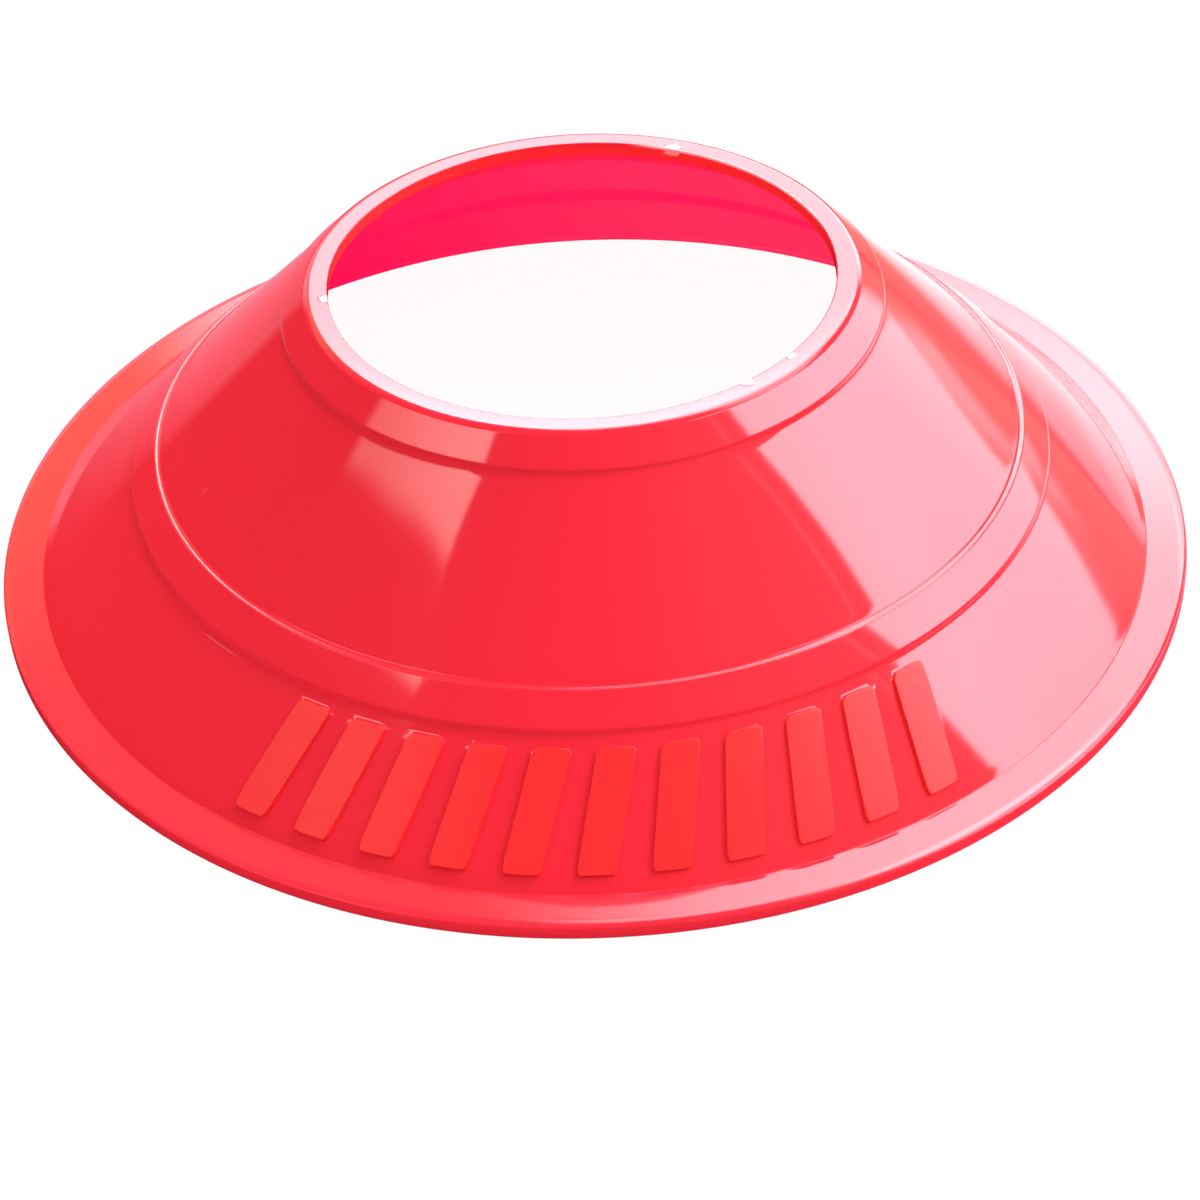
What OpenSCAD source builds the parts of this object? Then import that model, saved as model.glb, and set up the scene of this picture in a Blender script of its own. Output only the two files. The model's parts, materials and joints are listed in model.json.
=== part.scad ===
// Low disc-shaped sports marker cone, injection moulded in one shot of soft plastic.
// The wall is one straight cone between a flat brim and a flat lip round the hole.
// Outside it carries two proud rings, the collar and the stacking band, and inside it
// is smooth. The origin is the centre of the base, +Z is up, and the raised bars
// face -Y.

/* [Overall] */
// Outer diameter over the brim
base_d = 190; // [160:1:230]
// Height from the ground to the top of the lip
cone_h = 48.5; // [40:0.5:58]

/* [Wall] */
// Thickness of the conical wall between its rings
wall_t = 2; // [1.4:0.1:2.6]

/* [Brim] */
// Width of the flat brim outside the wall
brim_w = 6.3; // [4:0.1:10]
// Thickness of the brim
brim_t = 2.4; // [2:0.1:3.5]
// Rounding of the brim's upper outer edge
brim_top_round = 0.7; // [0.3:0.05:1]
// Rounding of the brim's lower outer edge
brim_foot_round = 0.4; // [0.2:0.05:0.8]
// Fillet where the brim meets the wall outside
brim_fillet = 0.8; // [0.3:0.1:1.5]
// Height of the foot's upright inner edge, where the wall's inner face ends
foot_edge_h = 0.7; // [0.6:0.1:1.2]
// Rounding of the foot's inner edge
foot_round = 0.3; // [0.1:0.05:0.4]

/* [Top lip] */
// Diameter of the hole through the top
hole_d = 77.8; // [60:0.2:88]
// Width of the flat lip round the hole
lip_w = 3.4; // [2.5:0.1:6]
// Thickness of the lip, which is the height of the hole's own wall
lip_t = 2.1; // [1.6:0.1:3]
// Rounding where the lip turns down into the collar
lip_round = 1; // [0.4:0.1:1.6]
// Rounding of the hole's upper and lower edge
hole_round = 0.2; // [0.1:0.05:0.4]

/* [Collar] */
// Width of the collar, down the slope from the lip
collar_w = 6.1; // [4:0.1:10]
// How far the collar stands proud of the wall
collar_raise = 0.6; // [0.4:0.05:0.9]

/* [Stacking band] */
// Distance up the slope from the brim to the band
band_foot = 22.4; // [16:0.1:26]
// Width of the band, up the slope
band_w = 6.7; // [4:0.1:10]
// How far the band stands proud of the wall
band_raise = 0.6; // [0.4:0.05:0.9]

/* [Steps] */
// Lean of the small step at each edge of the collar and the band
step_draft = 30; // [15:1:40]
// Rounding of each step's upper, outer edge
step_round = 0.4; // [0.2:0.05:0.6]
// Fillet at each step's foot
step_fillet = 0.25; // [0.1:0.05:0.4]
// Fillet at the inner face's upper and lower end
inner_fillet = 0.5; // [0.2:0.1:1]

/* [Raised bars] */
// Number of raised bars on the front of the skirt
bar_count = 11; // [5:1:24]
// Angle from one bar to the next, seen from above
bar_pitch = 7; // [6:0.25:9]
// Width of a bar, round the skirt
bar_w = 5.6; // [3:0.1:7]
// Lean of a bar to the right
bar_lean = 12; // [0:1:20]
// How far the bars stand proud of the skirt
bar_raise = 0.6; // [0.3:0.05:0.9]
// Rounding of a bar's corners
bar_round = 1; // [0.4:0.1:1.4]
// Bare skirt below the bars, up the slope from the brim
bar_gap_low = 2.7; // [2:0.1:6]
// Bare skirt between the bars and the band
bar_gap_high = 1.9; // [1.5:0.1:5]

/* [Hidden] */
$fn = 180;

// Chords in each rounded corner of an outline
arc_steps = 5;
// How far the bars' roots and their cutting prisms run past the skin they join
overrun = 1;
// Overall colour of the moulding
plastic_red = [0.95, 0.24, 0.26];

base_r = base_d / 2;
hole_r = hole_d / 2;

// The wall's outer face starts at the brim's inner edge. The collar's face, which
// stands proud of it, ends at the lip's outer corner.
wall_r = base_r - brim_w;
lip_corner = [hole_r + lip_w, cone_h];
reach = norm(lip_corner - [wall_r, brim_t]);
slope = atan2(cone_h - brim_t, wall_r - hole_r - lip_w) - asin(collar_raise / reach);

// Length of the wall's outer face, up the slope from the brim to the lip
wall_len = sqrt(reach * reach - collar_raise * collar_raise);
collar_foot = wall_len - collar_w;
band_top = band_foot + band_w;

// Length of each step up the slope, from its lean
collar_run = collar_raise * tan(step_draft);
band_run = band_raise * tan(step_draft);

// A point u up the slope from the brim, and w out from the wall's outer face
function on_wall(u, w) = [
    wall_r - u * cos(slope) + w * sin(slope),
    brim_t + u * sin(slope) + w * cos(slope)
];

// How far up the slope a line w out from the wall's outer face reaches height z
function slope_at(z, w) = (z - brim_t - w * cos(slope)) / sin(slope);

// The inner face's lower end, above the ground, and the foot's inner edge below it
inner_end = on_wall(slope_at(foot_edge_h, -wall_t), -wall_t);
foot_fillet = min(inner_fillet, foot_edge_h);
foot_r = inner_end[0];

// One corner of an outline, between neighbours a and b, rounded to radius r
function corner(a, p, b, r) =
    r == 0 ? [p] :
    let (
        to_a = (a - p) / norm(a - p),
        to_b = (b - p) / norm(b - p),
        half = acos(to_a * to_b) / 2,
        back = r / tan(half),
        centre = p + (to_a + to_b) / norm(to_a + to_b) * r / sin(half),
        start = p + to_a * back - centre,
        end = p + to_b * back - centre,
        turn = 180 - 2 * half
    )
    [for (k = [0 : arc_steps])
        centre + (start * sin(turn * (1 - k / arc_steps)) + end * sin(turn * k / arc_steps)) / sin(turn)];

// A closed outline from rows of [point, radius]
function rounded(rows) =
    let (n = len(rows))
    [for (i = [0 : n - 1])
        each corner(rows[(i + n - 1) % n][0], rows[i][0], rows[(i + 1) % n][0], rows[i][1])];

// Outer face of the wall from the brim up: skirt, stacking band, upper wall, collar
outer_face = [
    [on_wall(0, 0), brim_fillet],
    [on_wall(band_foot, 0), step_fillet],
    [on_wall(band_foot + band_run, band_raise), step_round],
    [on_wall(band_top - band_run, band_raise), step_round],
    [on_wall(band_top, 0), step_fillet],
    [on_wall(collar_foot, 0), step_fillet],
    [on_wall(collar_foot + collar_run, collar_raise), step_round],
];

// The lip, from its outer corner in to the hole and back under it
lip_face = [
    [lip_corner, lip_round],
    [[hole_r, cone_h], hole_round],
    [[hole_r, cone_h - lip_t], hole_round],
];

// The smooth inner face of the wall, from under the lip down to the foot
inner_face = [
    [on_wall(slope_at(cone_h - lip_t, -wall_t), -wall_t), inner_fillet],
    [inner_end, foot_fillet],
];

// The flat foot that the cone stands on, and the brim's edge
foot_face = [
    [[foot_r, 0], foot_round],
    [[base_r, 0], brim_foot_round],
    [[base_r, brim_t], brim_top_round],
];

// The whole moulded wall: brim, stepped cone and lip as one turned section
module turned_wall() {
    rotate_extrude()
        polygon(rounded(concat(outer_face, lip_face, inner_face, foot_face)));
}

// The thin conical skin that the bars are cut from, rooted inside the wall
module bar_skin() {
    low = 0;
    high = band_foot;
    rotate_extrude()
        polygon([
            on_wall(low, bar_raise),
            on_wall(high, bar_raise),
            on_wall(high, -wall_t / 2),
            on_wall(low, -wall_t / 2),
        ]);
}

// One bar's outline on the skirt, centred, with its lean
module bar_outline() {
    bar_len = band_foot - bar_gap_low - bar_gap_high;
    lean = bar_len * tan(bar_lean) / 2;
    polygon(rounded([
        [[-bar_w / 2 - lean, -bar_len / 2], bar_round],
        [[bar_w / 2 - lean, -bar_len / 2], bar_round],
        [[bar_w / 2 + lean, bar_len / 2], bar_round],
        [[-bar_w / 2 + lean, bar_len / 2], bar_round],
    ]));
}

// The row of plain raised bars, which follow the cone's face
module raised_bars() {
    bar_mid = (band_foot + bar_gap_low - bar_gap_high) / 2;
    place = on_wall(bar_mid, -wall_t / 2);
    intersection() {
        bar_skin();
        for (i = [0 : bar_count - 1])
            rotate([0, 0, (i - (bar_count - 1) / 2) * bar_pitch])
                translate([0, -place[0], place[1]])
                    rotate([slope, 0, 0])
                        linear_extrude(wall_t / 2 + bar_raise + overrun)
                            bar_outline();
    }
}

// The complete moulding
module cone_shell() {
    color(plastic_red)
        union() {
            turned_wall();
            raised_bars();
        }
}

cone_shell();
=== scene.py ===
import json
from math import asin, atan2, cos, hypot, pi, radians, sin, tan

import bmesh
import bpy
from mathutils import Matrix, Vector


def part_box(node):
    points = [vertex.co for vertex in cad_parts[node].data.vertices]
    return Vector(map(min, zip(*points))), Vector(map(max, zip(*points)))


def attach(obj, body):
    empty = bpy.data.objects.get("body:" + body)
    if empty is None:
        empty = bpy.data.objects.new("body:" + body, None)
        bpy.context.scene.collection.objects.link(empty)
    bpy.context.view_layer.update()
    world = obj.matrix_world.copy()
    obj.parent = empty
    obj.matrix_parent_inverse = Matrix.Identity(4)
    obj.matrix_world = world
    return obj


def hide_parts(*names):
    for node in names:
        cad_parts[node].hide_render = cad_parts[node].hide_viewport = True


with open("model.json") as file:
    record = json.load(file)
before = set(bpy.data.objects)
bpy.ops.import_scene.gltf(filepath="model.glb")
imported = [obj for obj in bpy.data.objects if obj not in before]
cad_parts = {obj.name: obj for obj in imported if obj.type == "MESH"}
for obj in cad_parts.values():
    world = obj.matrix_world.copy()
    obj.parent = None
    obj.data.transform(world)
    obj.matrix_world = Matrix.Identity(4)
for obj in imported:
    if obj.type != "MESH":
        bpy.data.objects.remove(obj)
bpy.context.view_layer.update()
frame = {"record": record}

# The wall of the moulding, one shot of soft glossy polyethylene. A straight cone stands on a
# flat brim, carries a proud stacking band and a proud collar, and turns in to a flat lip
# round the open top. The mould parts it as one closed skin, so it is spun from one outline.
mm = 0.001
box_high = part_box("cone_shell")[1]
mounts = {mount["name"]: mount for mount in frame["record"]["mounts"]}
base_r = box_high[0]
cone_h = box_high[2]
hole_r = mounts["centre_hole"]["dims"]["r_mm"] * mm
wall_t = 2 * mm
brim_w = 6.3 * mm
brim_t = 2.4 * mm
foot_edge_h = 0.7 * mm
lip_w = 3.4 * mm
lip_t = 2.1 * mm
collar_w = 6.1 * mm
ring_raise = 0.6 * mm
band_foot = 22.4 * mm
band_w = 6.7 * mm
step_draft = radians(45)
band_top_draft = radians(30)

wall_r = base_r - brim_w
brim_corner = Vector((wall_r, brim_t))
lip_corner = Vector((hole_r + lip_w, cone_h))
reach = (lip_corner - brim_corner).length
slope = atan2(cone_h - brim_t, wall_r - lip_corner.x) - asin(ring_raise / reach)
up_wall = Vector((-cos(slope), sin(slope)))
off_wall = Vector((sin(slope), cos(slope)))
wall_len = reach * cos(asin(ring_raise / reach))
collar_foot = wall_len - collar_w
band_top = band_foot + band_w
step_run = ring_raise * tan(step_draft)


def on_wall(u, w):
    """The radius and height of a point u up the slope from the brim and w out of the wall."""
    return brim_corner + u * up_wall + w * off_wall


def wall_place(co):
    """The same u and w of a point of the moulding."""
    step = Vector((hypot(co.x, co.y), co.z)) - brim_corner
    return step.dot(up_wall), step.dot(off_wall)


def inner_face(height):
    """The point of the smooth inner face at a height over the ground."""
    return on_wall((height - brim_t + wall_t * cos(slope)) / sin(slope), -wall_t)


# How far the skirt's face sank, tilted and curved in as the plastic cooled
skirt_sink = 0.12 * mm
skirt_tilt = 0.0053
skirt_curve = 0.098


def skirt_skin(u):
    """How far the skirt's face stands off the straight cone at a distance u up the slope."""
    return -skirt_sink - skirt_tilt * u - skirt_curve * u * u


# The same for the wall above the band, about its own middle
wall_sink = 0.03 * mm
wall_tilt = 0.0168
wall_curve = 0.0024
wall_middle = 43 * mm
wall_half = 13 * mm


def wall_skin(u):
    """How far the upper wall's face stands off the straight cone. It is slightly hollow."""
    low = (band_top - wall_middle) / wall_half
    x = (u - wall_middle) / wall_half
    hollow = wall_half * (wall_tilt * (x - low) - wall_curve * (x ** 3 - low ** 3))
    return skirt_skin(band_foot) - wall_sink + hollow


# The rows in which the relief's bars lie are part of the wall's outline, so that the bars rise
# from whole faces later. A few free rows beside them take up the bars' lean.
bar_low = 2.7 * mm
bar_high = band_foot - 1.9 * mm
bar_round = 1 * mm
bar_inner_rows = 8
bar_inner = (bar_high - bar_low - 2 * bar_round) / bar_inner_rows
bar_rows = [bar_low, bar_low + bar_round / 2]
bar_rows += [bar_low + bar_round + k * bar_inner for k in range(bar_inner_rows + 1)]
bar_rows += [bar_high - bar_round / 2, bar_high]

free_row = 0.5 * mm
free_rows = 3
bar_rows = [bar_low - k * free_row for k in range(free_rows, 0, -1)] + bar_rows
bar_rows += [bar_high + k * free_row for k in range(1, free_rows + 1)]

# The outline itself: every corner with its rounding and the number of facets in it, from the
# brim's corner up the outside, over the lip and down the inside to the brim's foot
outline = [(on_wall(0, skirt_skin(0)), 0.35 * mm, 4)]
outline += [(on_wall(u, skirt_skin(u)), 0, 0) for u in bar_rows]
band_w_low = skirt_skin(band_foot) + ring_raise
band_w_high = wall_skin(band_top) + ring_raise
outline += [
    (on_wall(band_foot, skirt_skin(band_foot)), 0.5 * mm, 4),
    (on_wall(band_foot + step_run, band_w_low), 0.6 * mm, 4),
    (on_wall(band_top - ring_raise * tan(band_top_draft), band_w_high), 0.45 * mm, 5),
    (on_wall(band_top, wall_skin(band_top)), 0.8 * mm, 6),
]
collar_w_low = 0.57 * mm
wall_rows = 14
wall_low = band_top + 1.5 * mm
wall_row = (collar_foot - 1.2 * mm - wall_low) / wall_rows
for u in [wall_low + k * wall_row for k in range(wall_rows + 1)]:
    outline.append((on_wall(u, wall_skin(u)), 0, 0))
outline += [
    (on_wall(collar_foot, wall_skin(collar_foot)), 0.7 * mm, 5),
    (on_wall(collar_foot + step_run, collar_w_low), 0.5 * mm, 5),
    (lip_corner, 1.7 * mm, 8),
    (Vector((hole_r, cone_h)), 0.25 * mm, 4),
    (Vector((hole_r, cone_h - lip_t)), 0.2 * mm, 3),
    (inner_face(cone_h - lip_t), 0.5 * mm, 3),
    (inner_face(foot_edge_h), 0.5 * mm, 3),
    (Vector((inner_face(foot_edge_h).x, 0)), 0.3 * mm, 3),
    (Vector((base_r, 0)), 0.4 * mm, 4),
]

# The brim's top falls a little outwards, rolls over softly before its edge, and then turns
# down round a small corner.
brim_fall = 0.045 * mm
roll_w = 1.7 * mm
roll_drop = 0.24 * mm
roll_rows = 5
roll_z = brim_t - brim_fall
outline.append((Vector((base_r, roll_z - roll_drop)), 0.5 * mm, 5))
for k in range(1, roll_rows):
    out = 1 - k / roll_rows
    fallen = roll_z - roll_drop * out * out
    outline.append((Vector((base_r - roll_w + roll_w * out, fallen)), 0, 0))
outline.append((Vector((base_r - roll_w, roll_z)), 0, 0))

# The outline is rounded and spun into the whole shell, and its doubled seam is merged.
shell = bmesh.new()
corners = [shell.verts.new((0, point.x, point.y)) for point, _, _ in outline]
for start, end in zip(corners, corners[1:] + corners[:1]):
    shell.edges.new((start, end))
for corner, (_, radius, facets) in zip(corners, outline):
    if radius:
        sides = [edge.other_vert(corner).co - corner.co for edge in corner.link_edges]
        half = sides[0].angle(sides[1]) / 2
        bmesh.ops.bevel(shell, geom=[corner], affect="VERTICES", offset=radius / tan(half),
                        segments=facets, profile=0.5, material=-1)
longest_row = 5 * mm
for edge in [edge for edge in shell.edges if edge.calc_length() > longest_row]:
    bmesh.ops.subdivide_edges(shell, edges=[edge], cuts=int(edge.calc_length() / longest_row))

sectors = 12
columns = 55 * sectors
column = 2 * pi / columns
bmesh.ops.spin(shell, geom=shell.verts[:] + shell.edges[:], axis=(0, 0, 1), cent=(0, 0, 0),
               angle=2 * pi / sectors, steps=columns // sectors)
bmesh.ops.spin(shell, geom=shell.verts[:] + shell.edges[:] + shell.faces[:], axis=(0, 0, 1),
               cent=(0, 0, 0), angle=2 * pi * (1 - 1 / sectors), steps=sectors - 1,
               use_duplicate=True)
bmesh.ops.remove_doubles(shell, verts=shell.verts, dist=0.001 * mm)
bmesh.ops.recalc_face_normals(shell, faces=shell.faces)

# The raised relief on the front of the skirt: a row of plain leaning bars, moulded with the
# wall. Each follows the cone, with rounded corners, a soft rim and a small fillet round its foot.
bar_count = 11
bar_pitch = radians(7)
bar_w = 5.6 * mm
bar_lean = radians(12)
bar_raise = 0.6 * mm
bar_mid = (bar_low + bar_high) / 2
bar_half_len = (bar_high - bar_low) / 2
pitch_columns = round(bar_pitch / column)
bar_lines = [0, 0.9 * mm, 1.8 * mm, 2.3 * mm, bar_w / 2]
bar_half_columns = len(bar_lines) - 1
outer_bar = bar_count // 2


def azimuth(co):
    """The angle of a point round the axis, from the front towards the right."""
    return atan2(co.x, -co.y)


def bar_line(bar, line, u):
    """The azimuth and u of a bar's own grid line, with the bar's lean and its round corners."""
    across = bar_lines[abs(line)] * (1 if line > 0 else -1)
    along = u - bar_mid
    p = (abs(across) - bar_w / 2 + bar_round) / bar_round
    q = (abs(along) - bar_half_len + bar_round) / bar_round
    if 0 < p <= 1.001 and 0 < q <= 1.001:
        across += (p * (1 - q * q / 2) ** 0.5 - p) * bar_round * (1 if across > 0 else -1)
        along += (q * (1 - p * p / 2) ** 0.5 - q) * bar_round * (1 if along > 0 else -1)
    radius = on_wall(along + bar_mid, 0).x
    return bar * bar_pitch + (across + along * tan(bar_lean)) / radius, along + bar_mid


def skirt_line(number, u):
    """Where a column's point at u goes, so that the columns follow the bars' sides."""
    bar = (number + pitch_columns // 2) // pitch_columns
    line = number - bar * pitch_columns
    if abs(line) <= bar_half_columns:
        if abs(bar) <= outer_bar:
            return bar_line(bar, line, u)
        return number * column, u
    if line < 0:
        bar, line = bar - 1, line + pitch_columns
    gap = pitch_columns - 2 * bar_half_columns
    share = (line - bar_half_columns) / gap
    inside = min(max(u, bar_low + bar_round), bar_high - bar_round)
    left = skirt_line(bar * pitch_columns + bar_half_columns, inside)[0]
    right = skirt_line((bar + 1) * pitch_columns - bar_half_columns, inside)[0]
    lean = (u - inside) * tan(bar_lean) / on_wall(u, 0).x
    return left + (right - left) * share + (lean if abs(bar + share) < outer_bar + 0.5 else 0), u


face_near = 0.05 * mm
bar_faces = []
for face in shell.faces:
    middle = face.calc_center_median()
    u, w = wall_place(middle)
    number = azimuth(middle) / column
    bar = round(number / pitch_columns)
    if abs(w - skirt_skin(u)) > face_near or not bar_low < u < bar_high:
        continue
    if abs(bar) <= outer_bar and abs(number - bar * pitch_columns) < bar_half_columns:
        bar_faces.append(face)

vert_near = 0.01 * mm
moved_low = bar_low / 4
moved_high = band_foot - 0.3 * mm
reach_columns = outer_bar * pitch_columns + pitch_columns
for vert in shell.verts:
    u, w = wall_place(vert.co)
    number = round(azimuth(vert.co) / column)
    if abs(w - skirt_skin(u)) > vert_near or abs(number) > reach_columns:
        continue
    if not moved_low < u < moved_high:
        continue
    turn, along = skirt_line(number, min(max(u, bar_low), bar_high))
    outside = max(bar_low - u, u - bar_high, 0)
    if outside:
        turn += (number * column - turn) * min(1, outside / (free_rows * free_row))
        along = u
    point = on_wall(along, skirt_skin(along))
    vert.co = (point.x * sin(turn), -point.x * cos(turn), point.y)

raised = bmesh.ops.extrude_face_region(shell, geom=bar_faces)["geom"]
bmesh.ops.delete(shell, geom=bar_faces, context="FACES")
for vert in [item for item in raised if isinstance(item, bmesh.types.BMVert)]:
    turn = azimuth(vert.co)
    vert.co += bar_raise * Vector((off_wall.x * sin(turn), -off_wall.x * cos(turn), off_wall.y))
tops = {item for item in raised if isinstance(item, bmesh.types.BMFace)}
rims = [edge for edge in shell.edges if len(tops.intersection(edge.link_faces)) == 1]
sides = {face for edge in rims for face in edge.link_faces} - tops
feet = [edge for edge in shell.edges if len(sides.intersection(edge.link_faces)) == 1
        and not tops.intersection(edge.link_faces)]
rim_round = 0.16 * mm
bmesh.ops.bevel(shell, geom=rims, affect="EDGES", offset=rim_round, segments=3, profile=0.5,
                material=-1)
foot_fillet = 0.08 * mm
bmesh.ops.bevel(shell, geom=feet, affect="EDGES", offset=foot_fillet, segments=2, profile=0.5,
                material=-1)

cone_mesh = bpy.data.meshes.new("cone_moulding")
shell.to_mesh(cone_mesh)
shell.free()
cone_mesh.shade_smooth()
cone = bpy.data.objects.new("cone_moulding", cone_mesh)
bpy.context.scene.collection.objects.link(cone)
weighted = cone.modifiers.new("face weighted normals", "WEIGHTED_NORMAL")
weighted.mode = "FACE_AREA"
weighted.weight = 90
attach(cone, "root")
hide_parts("cone_shell")

# The plastic: bright red, glossy from a polished mould. Its inside is painted more magenta, for
# the light that comes through the wall, and the relief's faces are satin from an etched mould.
outside_red = (0.90, 0.0238, 0.046, 1)
painted_through_magenta = (0.97, 0.021, 0.095, 1)
relief_red = (0.95, 0.012, 0.016, 1)
# Painted light: the hole's edge is more orange, for the light that shows through its thin wall
painted_rim_orange = (0.93, 0.047, 0.055, 1)
torn_red = (0.98, 0.72, 0.76, 1)


class Shade:
    """A value in a node tree. Arithmetic on it adds Math nodes."""

    def __init__(self, tree, socket=None):
        self.tree = tree
        self.socket = socket

    def node(self, kind, settings, inputs, output=0):
        made = self.tree.nodes.new(kind)
        for name, value in settings.items():
            setattr(made, name, value)
        for name, value in inputs.items():
            if isinstance(value, Shade):
                self.tree.links.new(value.socket, made.inputs[name])
            else:
                made.inputs[name].default_value = value
        return Shade(self.tree, made.outputs[output]) if made.outputs else None

    def math(self, operation, *others):
        values = dict(enumerate((self, *others)))
        return self.node("ShaderNodeMath", {"operation": operation}, values)

    def __add__(self, other):
        return self.math("ADD", other)

    def __sub__(self, other):
        return self.math("SUBTRACT", other)

    def __rsub__(self, other):
        return self.node("ShaderNodeMath", {"operation": "SUBTRACT"}, {0: other, 1: self})

    def __mul__(self, other):
        return self.math("MULTIPLY", other)

    __radd__ = __add__
    __rmul__ = __mul__

    def rise(self, start, end):
        """0 below start and 1 above end, smooth between them."""
        return self.node("ShaderNodeMapRange", {"interpolation_type": "SMOOTHSTEP"},
                         {0: self, 1: start, 2: end, 3: 0.0, 4: 1.0})

    def blend(self, below, above):
        """The colour below where this value is 0, and the colour above where it is 1."""
        return self.node("ShaderNodeMix", {"data_type": "RGBA"}, {0: self, 6: below, 7: above},
                         output=2)


plastic = bpy.data.materials.new("glossy_red_plastic")
plastic.use_nodes = True
plastic.node_tree.nodes.clear()
ink = Shade(plastic.node_tree)
coords = ink.node("ShaderNodeTexCoord", {}, {}, output="Object")
x = ink.node("ShaderNodeSeparateXYZ", {}, {0: coords}, output=0)
y = ink.node("ShaderNodeSeparateXYZ", {}, {0: coords}, output=1)
z = ink.node("ShaderNodeSeparateXYZ", {}, {0: coords}, output=2)
radius = (x * x + y * y).math("SQRT")
height_over = (radius - wall_r) * sin(slope) + (z - brim_t) * cos(slope)
up_along = (z - brim_t) * sin(slope) - (radius - wall_r) * cos(slope)
over_skin = height_over + skirt_sink + up_along * skirt_tilt + up_along * up_along * skirt_curve
relief = over_skin.rise(0.01 * mm, 0.05 * mm) * up_along.rise(bar_low - 1 * mm, bar_low)
relief = relief * (1 - up_along.rise(bar_high, bar_high + 0.8 * mm))
inside = (1 - height_over.rise(-1.9 * mm, -1.4 * mm)) * radius.rise(hole_r, hole_r + 0.4 * mm)
rim = 1 - radius.rise(hole_r + 0.1 * mm, hole_r + 0.45 * mm)
rim = rim * (1 - z.rise(cone_h - 0.5 * mm, cone_h - 0.2 * mm))
# Painted light: the inside's magenta stands in for the light that comes through the wall
colour = relief.blend(inside.blend(outside_red, painted_through_magenta), relief_red)
# The hole's edge gets its painted orange, which stands in for light through the thin wall
colour = rim.blend(colour, painted_rim_orange)

# Small whitened scars on the lip, where the three gates were trimmed off and beside one of
# them, each an azimuth and a size, and a fine pale line of flash along the hole's edge
gate_scars = [(156.5, 2.1 * mm), (-84, 1.7 * mm), (36, 1.8 * mm), (49.5, 1.5 * mm)]
gate_r = hole_r + 0.4 * mm
ragged = ink.node("ShaderNodeTexNoise", {}, {"Vector": coords, "Scale": 1500.0, "Detail": 2.0})
scars = 0
for gate_azimuth, size in gate_scars:
    turn = radians(gate_azimuth)
    spot = Vector((gate_r * sin(turn), -gate_r * cos(turn), cone_h))
    apart = ink.node("ShaderNodeVectorMath", {"operation": "DISTANCE"}, {0: coords, 1: spot},
                     output="Value")
    scars = scars + 1 - (apart + ragged * 1.6 * mm).rise(size - 0.25 * mm, size + 0.25 * mm)
flash = 1 - radius.rise(hole_r + 0.2 * mm, hole_r + 0.4 * mm)
flash = flash * z.rise(cone_h - 0.5 * mm, cone_h - 0.3 * mm)
flash = flash * x.rise(8 * mm, 14 * mm) * y.rise(8 * mm, 20 * mm)
torn = scars.math("MAXIMUM", flash)
colour = (torn * 0.75).blend(colour, torn_red)

# Two hair scratches on the wall, each from one azimuth and distance up the slope to another,
# paler than the gloss round them
scratches = [(-53.3, 21.2 * mm, -45.5, 21.4 * mm), (-68.6, 34.8 * mm, -68.1, 37.2 * mm)]
hair_w = 0.06 * mm


def on_skin(azimuth_deg, u):
    """A point of the moulding's outer face."""
    turn = radians(azimuth_deg)
    point = on_wall(u, skirt_skin(u))
    return Vector((point.x * sin(turn), -point.x * cos(turn), point.y))


for start_azimuth, start_u, end_azimuth, end_u in scratches:
    start = on_skin(start_azimuth, start_u)
    run = on_skin(end_azimuth, end_u) - start
    turn = radians((start_azimuth + end_azimuth) / 2)
    out_of = Vector((off_wall.x * sin(turn), -off_wall.x * cos(turn), off_wall.y))
    across = run.cross(out_of).normalized()
    apart = ink.node("ShaderNodeVectorMath", {"operation": "DOT_PRODUCT"}, {0: coords, 1: across},
                     output="Value") - start.dot(across)
    share = ink.node("ShaderNodeVectorMath", {"operation": "DOT_PRODUCT"},
                     {0: coords, 1: run / run.length_squared}, output="Value")
    share = share - start.dot(run) / run.length_squared
    hair = 1 - apart.math("ABSOLUTE").rise(hair_w / 2, hair_w * 3 / 2)
    hair = hair * share.rise(0, 0.3) * (1 - share.rise(0.7, 1)) * (1 - inside)
    colour = (hair * 0.2).blend(colour, torn_red)

# The light that comes through the thin wall inside. Less of it comes from the left, behind
# the band and behind the collar, where the wall is thicker.
through_thin = (0.80, 0.027, 0.094, 1)
through_thick = (0.58, 0.005, 0.077, 1)
through_collar = (0.60, 0.010, 0.045, 1)
behind_band = up_along.rise(27 * mm, 31 * mm) * (1 - up_along.rise(35 * mm, 39 * mm))
from_right = x.rise(-55 * mm, 35 * mm) * (1 - behind_band * 0.75)
through = from_right.blend(through_thick, through_thin)
through = up_along.rise(56 * mm, 59 * mm).blend(through, through_collar)
glow = inside.blend((0, 0, 0, 1), through)

# The surface's finish: an almost even gloss with very slight waves, a fine grain on the etched
# relief and a ragged grain on the torn scars
grain = ink.node("ShaderNodeTexNoise", {}, {"Vector": coords, "Scale": 2600.0, "Detail": 2.0})
waves = ink.node("ShaderNodeTexNoise", {}, {"Vector": coords, "Scale": 70.0, "Detail": 1.0})
roughness = relief * 0.36 + torn * 0.3 + 0.05
on_slope = up_along.rise(-0.5 * mm, 2 * mm)
wavy = ink.node("ShaderNodeBump", {}, {"Strength": 1.0, "Distance": 0.014 * mm,
                                       "Height": waves * on_slope}, output="Normal")
bump = ink.node("ShaderNodeBump", {}, {"Strength": 0.7, "Distance": 0.03 * mm,
                                       "Height": grain * relief, "Normal": wavy}, output="Normal")
bump = ink.node("ShaderNodeBump", {}, {"Strength": 0.6, "Distance": 0.25 * mm,
                                       "Height": ragged * torn, "Normal": bump}, output="Normal")
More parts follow.
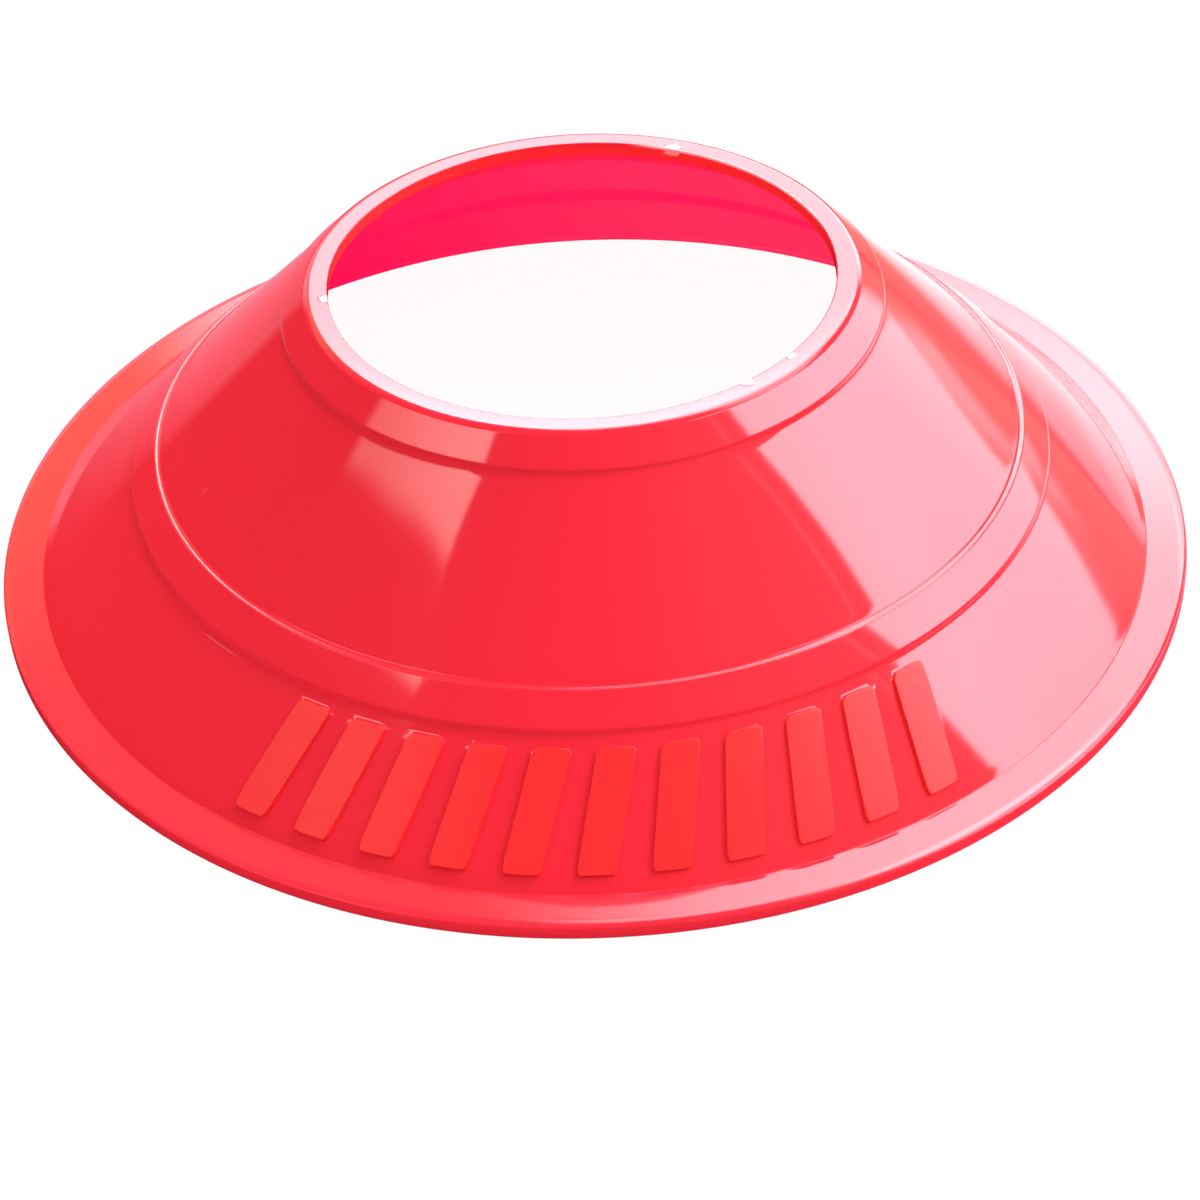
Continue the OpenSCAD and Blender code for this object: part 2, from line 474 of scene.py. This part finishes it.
gloss = ink.node("ShaderNodeBsdfPrincipled", {}, {
    "Base Color": colour, "Roughness": roughness, "Normal": bump, "IOR": 1.5,
    "Emission Color": glow, "Emission Strength": 1.0})
ink.node("ShaderNodeOutputMaterial", {}, {"Surface": gloss})
cone.data.materials.append(plastic)

# The studio floor, a plain white sheet, a hair under the brim's foot. What the camera sees of
# it is mostly its own white, with a light shadow of the cone left in it.
floor_r = 0.36
floor_z = -0.02 * mm
floor_grid = bmesh.new()
bmesh.ops.create_circle(floor_grid, cap_ends=True, radius=floor_r, segments=96,
                        matrix=Matrix.Translation((0, 0, floor_z)))
floor_mesh = bpy.data.meshes.new("studio_floor")
floor_grid.to_mesh(floor_mesh)
floor_grid.free()
floor = bpy.data.objects.new("studio_floor", floor_mesh)
bpy.context.scene.collection.objects.link(floor)

floor_paint = bpy.data.materials.new("white_floor")
floor_paint.use_nodes = True
floor_paint.node_tree.nodes.clear()
paint = Shade(floor_paint.node_tree)
camera_ray = paint.node("ShaderNodeLightPath", {}, {}, output="Is Camera Ray")
floor_grey = (0.8, 0.8, 0.8, 1)
pure_white = (1, 1, 1, 1)
matt = paint.node("ShaderNodeBsdfDiffuse", {}, {"Color": floor_grey})
white = paint.node("ShaderNodeEmission", {}, {"Color": pure_white, "Strength": 1.03})
place = paint.node("ShaderNodeTexCoord", {}, {}, output="Object")
floor_x = paint.node("ShaderNodeSeparateXYZ", {}, {0: place}, output=0)
floor_y = paint.node("ShaderNodeSeparateXYZ", {}, {0: place}, output=1)
away = floor_x * floor_x + floor_y * floor_y


def glare(red, green, blue):
    return paint.node("ShaderNodeEmission", {}, {"Color": (red, green, blue, 1), "Strength": 1.0})


def between(factor, below, above):
    return paint.node("ShaderNodeMixShader", {}, {0: factor, 1: below, 2: above})


# The gloss mirrors a glow painted on the floor, bright right, darker and redder left, with
# painted shade dim in front and black under the cone. Its own white hides most of the cone's
# shadow.
far_right = between(floor_y.rise(0.1, 0.162), glare(1.5, 1.5, 1.55), glare(0.5, 0.5, 0.36))
right = between(floor_y.rise(0.035, 0.065), glare(2.1, 2.1, 2.2), far_right)
far_left = floor_y + floor_x * 1.24
left = between(far_left.rise(-0.135, -0.01), glare(0.1, 0.03, 0.03), glare(0.8, 0.32, 0.4))
round_cone = between(floor_x.rise(0.0, 0.07) * floor_y.rise(-0.03, 0.01), left, right)
# Painted shade in the mirrored floor: dim in front of the cone and black under it
clear = away.rise(0.0087, 0.009) * (floor_y.rise(-0.06, 0) * 0.7 + 0.3)
mirrored = between(clear, glare(0, 0, 0), round_cone)
glossy_ray = paint.node("ShaderNodeLightPath", {}, {}, output="Is Glossy Ray")
lit = between(glossy_ray, matt, mirrored)
own_white = camera_ray * 0.93
paint.node("ShaderNodeOutputMaterial", {}, {"Surface": between(own_white, lit, white)})
floor.data.materials.append(floor_paint)

# The studio round it, which the gloss mirrors: a tall soft box on the right with a lit trim,
# one behind the cone with a low panel and a warm glow, a bridge of light between the two high
# up, a window high on the left, low dim ground behind it, and a faint haze. The rest is dark.
world = bpy.data.worlds.new("studio")
world.use_nodes = True
world.node_tree.nodes.clear()
sky = Shade(world.node_tree)
towards = sky.node("ShaderNodeTexCoord", {}, {}, output="Generated")


def direction(azimuth_deg, elevation_deg):
    """A direction from the cone, its azimuth from the front towards the right."""
    turn, lift = radians(azimuth_deg), radians(elevation_deg)
    return Vector((sin(turn) * cos(lift), -cos(turn) * cos(lift), sin(lift)))


def dotted(normal):
    return sky.node("ShaderNodeVectorMath", {"operation": "DOT_PRODUCT"}, {0: towards, 1: normal},
                    output="Value")


def edge(start, end, soft):
    """A panel's straight edge through two directions. The panel lies on its left."""
    return dotted(start.cross(end).normalized()).rise(-soft, soft)


def upright_edge(azimuth_deg, soft):
    """An upright edge, with the panel towards greater azimuths."""
    turn = radians(azimuth_deg)
    return dotted(Vector((cos(turn), sin(turn), 0))).rise(-soft, soft)


lift = dotted(Vector((0, 0, 1)))
rightness = dotted(Vector((1, 0, 0)))
backness = dotted(Vector((0, 1, 0)))

# The soft box on the right, brighter upwards, with a thin lit trim beside its left edge
box_plane = dotted(Vector((-0.1683, 0.8494, 0.5002)))
box_side = box_plane.rise(-0.004, 0.004)
box_far = dotted(Vector((-0.3337, 0.3075, 0.8911))).rise(-0.008, 0.008)
box_near = dotted(Vector((-0.3145, 0.2401, 0.9184))).rise(-0.004, 0.008)
box_top = edge(direction(125, 20), direction(55, 55), 0.03)
box_foot = edge(direction(65, 29), direction(150, -18), 0.03)
box_whole = box_side * box_far * upright_edge(50, 0.03) * box_top * box_foot
box_edge = upright_edge(128, 0.06) * 0.4 + 0.08
box_light = (lift * 11.8 + 2.8).math("MINIMUM", 8.7)
box_light = box_light * (box_edge + box_near * (1 - box_edge))
box_trim = box_plane.rise(-0.038, -0.034) * (1 - box_plane.rise(-0.034, -0.03))
box_trim = box_trim * box_top * upright_edge(50, 0.03) * lift.rise(0.57, 0.61) * 1.6
right_box = box_whole * box_light + box_trim

# The box behind the cone with a bump of light low down, the bridge from it to the right, the
# warm glow on its left, the low panel under it and the haze to the right of that
back_side = edge(direction(189, 31), direction(179, 45.5), 0.035)
back_reach = back_side + (1 - upright_edge(182.6, 0.035) - back_side) * lift.rise(0.71, 0.77)
back_bump = lift.rise(0.537, 0.574) * (1 - lift.rise(0.581, 0.609)) * 4.8
back_bump = back_bump * (1 - rightness.rise(0.05, 0.2) * 0.4)
back_dim = (1 - rightness.rise(-0.02, 0.1)) * lift.rise(0.62, 0.68) * 0.35
back_box = back_reach * upright_edge(150, 0.02) * lift.rise(0.45, 0.49)
back_box = back_box * (1 - lift.rise(0.84, 0.9)) * (back_bump + 7.3) * (1 - back_dim)
bridge = rightness.rise(0.12, 0.2) * upright_edge(95, 0.08) * 5
bridge = bridge * lift.rise(0.66, 0.74) * (1 - lift.rise(0.88, 0.93))
back_glow = (1 - back_side) * backness.rise(0.4, 0.6) * lift.rise(0.42, 0.5)
back_glow = back_glow * (1 - lift.rise(0.75, 0.85)) * ((1 - lift.rise(0.57, 0.64)) * 0.68 + 0.32)
back_low = backness.rise(0.74, 0.84) * lift.rise(0.12, 0.2) * (1 - lift.rise(0.44, 0.48))
back_low = back_low * (rightness.rise(-0.1, 0.1) * 5.8 + 1.5)
far_haze = backness.rise(0.35, 0.55) * rightness.rise(0.2, 0.35) * lift.rise(-0.14, -0.03)
far_haze = far_haze * (1 - lift.rise(0.12, 0.3)) * 0.5

# The window high on the left, brighter upwards, with one low corner cut off
window_foot = dotted(Vector((0.4576, 0.5201, 0.7212))).rise(-0.008, 0.008)
window_side = 1 - dotted(Vector((0.2188, -0.8958, -0.387))).rise(-0.006, 0.006)
window_top = edge(direction(-40, 56), direction(-92, 40), 0.02)
window = window_foot * window_side * window_top * upright_edge(-92, 0.03)
window_corner = edge(direction(-74, 39), direction(-56.5, 44.3), 0.008)
window = window * window_corner * (1 - upright_edge(-30, 0.03))
window = window * (lift.rise(0.55, 0.8) * 2.9 + 2.3)

# The low ground behind on the left, the faint haze over it all, and the sum of the light, which
# is a little bluer than white except in the warm glow
low_left = (1 - upright_edge(218, 0.05)) * (1 - rightness.rise(-0.3, -0.2))
low_left = low_left * (1 - lift.rise(0, 0.08)) * 0.34
haze = rightness.rise(-0.1, 0.8) * 0.35
white_light = right_box + bridge + back_box + back_low + back_glow + window
white_light = white_light + low_left + haze + far_haze + 0.03
blue_light = right_box * 1.14 + bridge * 1.1 + back_box * 1.07 + back_low * 1.07
blue_light = blue_light + back_glow * 0.25 + window * 0.92
blue_light = blue_light + low_left * 1.25 + haze * 0.6 + far_haze * 0.7
light = sky.node("ShaderNodeCombineXYZ", {}, {0: white_light, 1: white_light, 2: blue_light})
seen = sky.node("ShaderNodeLightPath", {}, {}, output="Is Camera Ray")
shown = seen.blend(light, pure_white)
background = sky.node("ShaderNodeBackground", {}, {"Color": shown, "Strength": 1.0})
sky.node("ShaderNodeOutputWorld", {}, {"Surface": background})
bpy.context.scene.world = world

# The lamps that light the plastic evenly, one overhead, two on the left and one in front. They
# are kept out of the gloss, which mirrors the studio's panels alone.
centre = Vector((0, 0, cone_h / 2))


def soft_lamp(name, azimuth_deg, elevation_deg, across, distance, brightness):
    away = direction(azimuth_deg, elevation_deg)
    data = bpy.data.lights.new(name, "AREA")
    data.shape = "DISK"
    data.size = across
    data.energy = pi * pi * across * across / 4 * brightness
    lamp = bpy.data.objects.new(name, data)
    lamp.location = centre + away * distance
    lamp.rotation_euler = away.to_track_quat("Z", "Y").to_euler()
    lamp.visible_glossy = False
    lamp.visible_camera = False
    bpy.context.scene.collection.objects.link(lamp)


soft_lamp("overhead_lamp", 20, 80, 2.4, 2, 0.88)
soft_lamp("left_lamp", -66, 35, 1.0, 1.5, 1.35)
soft_lamp("far_left_lamp", -130, 35, 1.0, 1.5, 1.3)
soft_lamp("front_lamp", 0, 27, 0.8, 1.5, 1.25)

# The camera, at the photograph's place and angle: level in front of the cone, then panned,
# tilted and rolled a little
view_lift = radians(36.994)
view_away = 5.1655 * base_r
view_roll = 0.04706
aim_right = 0.001024
aim_down = -0.02492
stand = Vector((0, -cos(view_lift), sin(view_lift))) * view_away
ahead = -stand.normalized()
side = Vector((1, 0, 0))
over = side.cross(ahead)
level = Matrix((side, over, ahead))
pan = Matrix.Rotation(-aim_right, 3, "Y")
tilt = Matrix.Rotation(aim_down, 3, "X")
aimed = tilt @ pan @ level
cam_x = cos(view_roll) * aimed[0] - sin(view_roll) * aimed[1]
cam_y = sin(view_roll) * aimed[0] + cos(view_roll) * aimed[1]
cam_z = -aimed[2]
lens = bpy.data.cameras.new("camera")
lens.sensor_width = 36
lens.lens = 90.449
lens.clip_start = 0.01
camera = bpy.data.objects.new("camera", lens)
turned = Matrix((cam_x, cam_y, cam_z)).transposed().to_4x4()
camera.matrix_world = Matrix.Translation(stand) @ turned
bpy.context.scene.collection.objects.link(camera)
bpy.context.scene.camera = camera
bpy.context.scene.view_settings.view_transform = "Standard"
